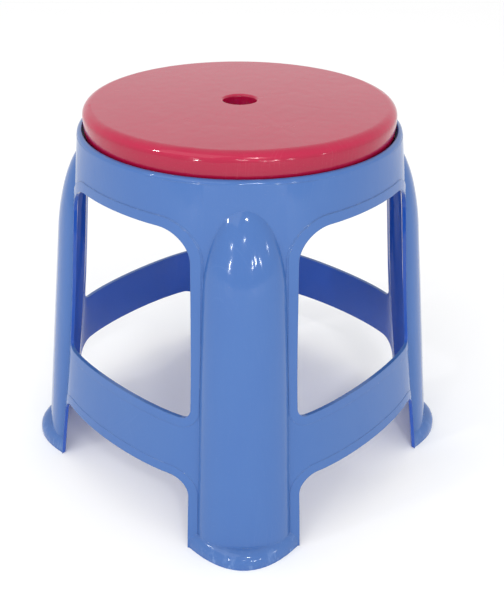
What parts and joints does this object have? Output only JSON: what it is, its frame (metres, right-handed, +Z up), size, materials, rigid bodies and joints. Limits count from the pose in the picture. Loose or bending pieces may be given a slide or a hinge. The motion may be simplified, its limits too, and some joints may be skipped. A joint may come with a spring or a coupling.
{
  "type": "round plastic stool",
  "caption": "Round two-colour moulded plastic stool: red disc seat with a finger hole, blue ring base with splayed half-round legs and curved cross bands.",
  "frame": {"origin": "centre of the footprint on the floor, under the middle of the seat", "axes": "+Z up; one leg points along each of +X, -X, +Y and -Y, and the front leg of the reference view is the one towards -Y"},
  "size_m": [0.4364, 0.4364, 0.3705],
  "materials": {
    "base_plastic": "gloss light blue moulded plastic",
    "seat_plastic": "gloss crimson moulded plastic"
  },
  "bodies": {
    "stool": {"base_frame": "base_plastic", "seat_cap": "seat_plastic"}
  },
  "joints": []
}
